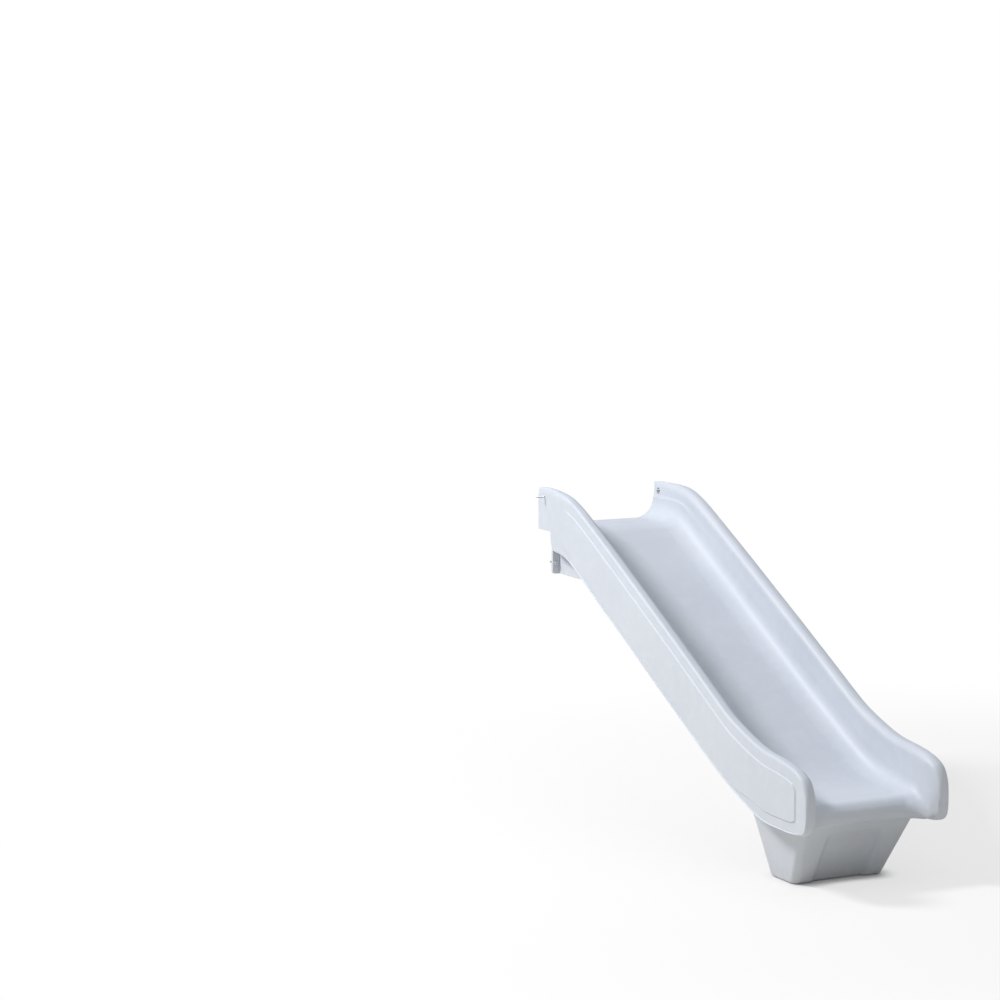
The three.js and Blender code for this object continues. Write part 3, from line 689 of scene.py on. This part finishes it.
class Shader:
    def __init__(self, name):
        self.material = bpy.data.materials.new(name)
        self.material.use_nodes = True
        self.tree = self.material.node_tree
        self.coords = self.add("TexCoord")

    def add(self, kind, inputs={}, **settings):
        return add_node(self.tree, kind, inputs, **settings)

    def surface(self, inputs):
        feed(self.tree, self.tree.nodes["Principled BSDF"], inputs)

    def noise(self, scale, detail=3.0, rough=0.5, stretch=None, turn=None):
        node = self.add("TexNoise", {"Scale": scale, "Detail": detail, "Roughness": rough})
        source = self.coords.outputs["Object"]
        if stretch:
            source = self.add("Mapping", {"Rotation": turn, "Scale": stretch,
                                          "Vector": source}).outputs["Vector"]
        feed(self.tree, node, {"Vector": source})
        return node.outputs["Fac"]

    def ramp(self, source, start, end, low=0.0, high=1.0):
        return self.add("MapRange", {"From Min": start, "From Max": end, "To Min": low,
                                     "To Max": high, "Value": source},
                        interpolation_type="SMOOTHSTEP").outputs["Result"]

    def math(self, operation, a, b):
        return math_node(self.tree, operation, a, b)

    def times(self, a, b):
        return self.math("MULTIPLY", a, b)

    def vary(self, value, noise, amount):
        """value plus the noise about its middle, scaled by amount."""
        return self.math("ADD", value, self.times(self.math("SUBTRACT", noise, 0.5), amount))

    def raise_by(self, value, mask, amount):
        return self.math("ADD", value, self.times(mask, amount))

    def mix(self, mask, a, b):
        a, b = ((*colour, 1) if isinstance(colour, tuple) else colour for colour in (a, b))
        return self.add("Mix", {0: mask, 6: a, 7: b}, data_type="RGBA").outputs[2]

    def tint(self, colour, mask, amount, towards):
        return self.mix(self.times(mask, amount), colour, towards)

    def bump(self, height, strength, distance, under=None):
        inputs = {"Strength": strength, "Distance": distance, "Height": height}
        if under is not None:
            inputs["Normal"] = under
        return self.add("Bump", inputs).outputs["Normal"]

    def axis(self, index, kind="Object"):
        return self.add("SeparateXYZ", {0: self.coords.outputs[kind]}).outputs[index]

    def pointiness(self):
        return self.add("NewGeometry").outputs["Pointiness"]


def moulded_plastic(name, base, dark, pale, rough, slide_wear):
    sh = Shader(name)
    broad = sh.noise(scale=3.4, detail=3, rough=0.55)
    middle = sh.noise(scale=38, detail=4, rough=0.6)
    fine = sh.noise(scale=620, detail=2)
    colour = sh.mix(sh.ramp(broad, start=0.35, end=0.68), base, dark)
    colour = sh.tint(colour, sh.ramp(middle, start=0.42, end=0.7), amount=0.35, towards=pale)
    colour = sh.tint(colour, sh.ramp(fine, start=0.48, end=0.72), amount=0.16, towards=dark)
    rough = sh.vary(rough, middle, amount=0.16)
    rough = sh.vary(rough, fine, amount=0.10)
    # rubbed edges are paler and a little duller
    worn = sh.times(sh.ramp(sh.pointiness(), start=0.53, end=0.62),
                    sh.ramp(sh.noise(scale=60), start=0.35, end=0.6))
    colour = sh.tint(colour, worn, amount=0.30, towards=pale)
    rough = sh.raise_by(rough, worn, amount=0.08)
    if slide_wear:
        # long faint rub marks down the sliding surface, and dust low on the foot
        streak = sh.noise(scale=1.0, rough=0.55, stretch=(330, 5.5, 26),
                          turn=(math.radians(28.4), 0, 0))
        across = sh.ramp(sh.math("ABSOLUTE", sh.axis(0), 0.0), start=0.085, end=0.135,
                         low=1, high=0)
        upward = sh.ramp(sh.axis(2, "Normal"), start=0.6, end=0.85)
        mark = sh.times(sh.times(sh.ramp(streak, start=0.56, end=0.70), across), upward)
        colour = sh.tint(colour, mark, amount=0.16, towards=pale)
        rough = sh.raise_by(rough, mark, amount=0.13)
        dust = sh.times(sh.ramp(sh.axis(2), start=0.0, end=0.05, low=1, high=0),
                        sh.ramp(sh.noise(scale=55, detail=4), start=0.3, end=0.65))
        colour = sh.tint(colour, dust, amount=0.28, towards=(0.40, 0.39, 0.365))
        rough = sh.raise_by(rough, dust, amount=0.2)
    # slow waviness of a moulded wall, then fine stipple
    relief = sh.bump(sh.noise(scale=26, detail=2), strength=0.22, distance=0.0006)
    relief = sh.bump(sh.noise(scale=780, detail=2, rough=0.6), strength=0.30,
                     distance=0.00012, under=relief)
    # the thin coat is the skin that forms against the mould
    sh.surface({"Base Color": colour, "Roughness": rough, "Normal": relief,
                "Specular IOR Level": 0.5, "Coat Weight": 0.06, "Coat Roughness": 0.28,
                "Coat Normal": relief})
    return sh.material


def plated_steel(name, base, dark, pale, rough):
    sh = Shader(name)
    broad = sh.noise(scale=420, detail=4, rough=0.6)
    fine = sh.noise(scale=2600, detail=3, rough=0.6)
    colour = sh.mix(sh.ramp(broad, start=0.35, end=0.7), base, dark)
    colour = sh.tint(colour, sh.ramp(sh.pointiness(), start=0.53, end=0.65), amount=0.35,
                     towards=pale)
    sh.surface({"Base Color": colour, "Metallic": 1.0,
                "Roughness": sh.vary(rough, broad, amount=0.3),
                "Normal": sh.bump(fine, strength=0.25, distance=0.00004)})
    return sh.material


# ------------------------------------------------------------------ the object
shell_material = moulded_plastic(
    "moulded_polyethylene", base=(0.600, 0.634, 0.700), dark=(0.572, 0.606, 0.676),
    pale=(0.655, 0.682, 0.735), rough=0.52, slide_wear=True)
plug_material = moulded_plastic(
    "plug_polyethylene", base=(0.50, 0.53, 0.60), dark=(0.44, 0.47, 0.54),
    pale=(0.58, 0.60, 0.66), rough=0.46, slide_wear=False)
steel_material = plated_steel(
    "zinc_plated_steel", base=(0.66, 0.67, 0.69),
    dark=(0.66 * 0.80, 0.67 * 0.80, 0.69 * 0.82), pale=(0.86, 0.86, 0.88), rough=0.32)


def fit(piece, material, node):
    piece.data.materials.clear()
    piece.data.materials.append(material)
    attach(piece, "root")
    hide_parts(node)


def fasten(place, side, seat, out, length, plain):
    """Washer and screw on a seat; out is the (x, run, z) direction the head faces."""
    head = (out[0], -out[1], out[2])

    def lifted(height):
        return [c + d * height for c, d in zip(seat, out)]

    fit(washer_mesh(f"washer_{place}_{side}", lifted(GAP), head),
        steel_material, f"{place}_washer_{side}")
    fit(screw_mesh(f"screw_{place}_{side}", length, plain, lifted(2 * GAP + WASHER_T), head),
        steel_material, f"{place}_screw_{side}")


body = body_mesh()
boolean(body, foot_mesh(), "UNION")
boolean(body, flange_mesh(), "UNION")
for k in (-1, 1):
    for cutter in (("hole", 0, (k * 168, EAR_RUN, EAR_Z), -30, 30, SCREW_HOLE_R),
                   ("seat", 0, (k * (SEAT_X - 10), EAR_RUN, EAR_Z), -10, 10, SEAT_R),
                   ("hole", 1, (k * RIM_X, RIM_RUN + 4, RIM_Z), -15, 15, SCREW_HOLE_R)):
        boolean(body, rod(*cutter), "DIFFERENCE")
boolean(body, rod("vent", 2, (0, VENT_RUN, LUG_Z), -10, 13, VENT_R), "DIFFERENCE")
tidy(body, sharp_degrees=38)
fit(body, shell_material, "slide_shell")

for side, k in (("left", -1), ("right", 1)):
    fasten("ear", side, (k * SEAT_X, EAR_RUN, EAR_Z), out=(-k, 0, 0), length=45, plain=19)
    fasten("rim", side, (k * RIM_X, RIM_RUN + FLANGE_T, RIM_Z), out=(0, 1, 0),
           length=38, plain=11)
fit(plug_mesh("plug_vent", (0, VENT_RUN, LUG_Z - GAP)), plug_material, "vent_plug")


# ------------------------------------------------------------------ floor
def floor_material():
    """Matt floor under a painted white glow that only the camera sees, so it fades to white away
    from the slide.
    """
    sh = Shader("studio_floor")
    sh.surface({"Roughness": 0.9, "Specular IOR Level": 0.1})
    distance = sh.add("VectorMath", operation="LENGTH")
    offset = sh.add("VectorMath", {0: sh.coords.outputs["Object"], 1: (0.45, 0.15, 0)},
                    operation="SUBTRACT")
    feed(sh.tree, distance, {0: offset.outputs[0]})
    # painted light: the glow covers 0.62 of the floor near the slide, which lightens the cast
    # shadows, and all of it far away
    painted_glow_share = sh.ramp(distance.outputs["Value"], start=0.9, end=2.2, low=0.62, high=1.0)
    # less painted glow where ambient occlusion finds contact, so the floor's rendered contact
    # shade shows
    contact = sh.add("AmbientOcclusion", {"Distance": 0.05}, samples=8)
    painted_glow_share = sh.times(painted_glow_share, sh.ramp(contact.outputs["AO"], start=0.35, end=0.9))
    seen = sh.add("LightPath").outputs["Is Camera Ray"]
    # warmer where it only lights the part from below than where the camera sees it
    lighting, visible = (0.84, 0.805, 0.74), (0.86, 0.845, 0.82)
    sh.surface({"Base Color": sh.mix(seen, lighting, visible)})
    # the painted glow itself: white emission on a floor that is no lamp
    white = sh.add("Emission", {"Color": (1, 1, 1, 1), "Strength": 1.0})
    blended = sh.add("MixShader", {0: sh.times(painted_glow_share, seen),
                                   1: sh.tree.nodes["Principled BSDF"].outputs[0],
                                   2: white.outputs[0]})
    feed(sh.tree, sh.tree.nodes["Material Output"], {"Surface": blended.outputs[0]})
    return sh.material


FLOOR_HALF, FLOOR_Z = 40, -0.0004     # metres
floor = mesh_from("studio_floor", [(x * FLOOR_HALF, y * FLOOR_HALF, FLOOR_Z) for x, y in
                                   ((-1, -1), (1, -1), (1, 1), (-1, 1))], [(0, 1, 2, 3)])
floor.data.materials.append(floor_material())

# ------------------------------------------------------------------ world
# soft light from above, dimmer at the horizon; the camera sees plain white, and gloss mirrors
# a pale room
HORIZON, ZENITH, SEEN, MIRRORED = 0.04, 0.87, 1.05, 0.50

world = bpy.data.worlds.new("studio")
bpy.context.scene.world = world
world.use_nodes = True
sky_tree = world.node_tree
path = add_node(sky_tree, "LightPath", {})
direction = add_node(sky_tree, "TexCoord", {})
height = add_node(sky_tree, "SeparateXYZ", {0: direction.outputs["Generated"]}).outputs[2]
sky = math_node(sky_tree, "MULTIPLY_ADD", math_node(sky_tree, "MAXIMUM", height, 0.0),
                ZENITH - HORIZON, HORIZON)


def swap_level(level, ray, replacement):
    """Use another brightness for one kind of ray."""
    others = math_node(sky_tree, "SUBTRACT", 1.0, ray)
    kept = math_node(sky_tree, "MULTIPLY", level, others)
    return math_node(sky_tree, "ADD", kept, math_node(sky_tree, "MULTIPLY", ray, replacement))


level = swap_level(sky, path.outputs["Is Glossy Ray"], MIRRORED)
level = swap_level(level, path.outputs["Is Camera Ray"], SEEN)
feed(sky_tree, sky_tree.nodes["Background"],
     {"Color": (0.955, 0.98, 1.0, 1), "Strength": level})

# ------------------------------------------------------------------ light
KEY_AT, KEY_AIM = Vector((-3.62, 1.95, 4.25)), Vector((0.05, 0.45, 0.35))
KEY_SIZE, KEY_WATTS = 1.05, 232

key_data = bpy.data.lights.new("key", "AREA")
key_data.shape = "RECTANGLE"
key_data.size = KEY_SIZE
key_data.size_y = KEY_SIZE
key_data.energy = KEY_WATTS
key_data.color = (0.97, 0.985, 1.0)
key = bpy.data.objects.new("key", key_data)
bpy.context.scene.collection.objects.link(key)
key.location = KEY_AT
key.rotation_mode = "QUATERNION"
key.rotation_quaternion = (KEY_AIM - KEY_AT).to_track_quat("-Z", "Y")

# ------------------------------------------------------------------ camera
# pitch is downwards from level, yaw from +Y towards +X, tilt about the line of sight (radians)
PITCH, TILT, YAW = 0.11848887, 0.00478935, 0.4670533
CAMERA_AT = (-3.49056, -5.268, 1.6)

camera_data = bpy.data.cameras.new("camera")
camera_data.sensor_width = 36.0
camera_data.lens = 101.6424
camera_data.clip_start = 0.1
camera_data.clip_end = 200
camera = bpy.data.objects.new("camera", camera_data)
bpy.context.scene.collection.objects.link(camera)
ahead = Vector((math.sin(YAW), math.cos(YAW), 0))
level_right = Vector((math.cos(YAW), -math.sin(YAW), 0))
vertical = Vector((0, 0, 1))
sight = ahead * math.cos(PITCH) - vertical * math.sin(PITCH)
level_up = vertical * math.cos(PITCH) + ahead * math.sin(PITCH)
camera_right = level_right * math.cos(TILT) + level_up * math.sin(TILT)
camera_up = -level_right * math.sin(TILT) + level_up * math.cos(TILT)
pose = Matrix((camera_right, camera_up, -sight)).transposed().to_4x4()
pose.translation = CAMERA_AT
camera.matrix_world = pose
bpy.context.scene.camera = camera
bpy.context.scene.view_settings.view_transform = "Standard"
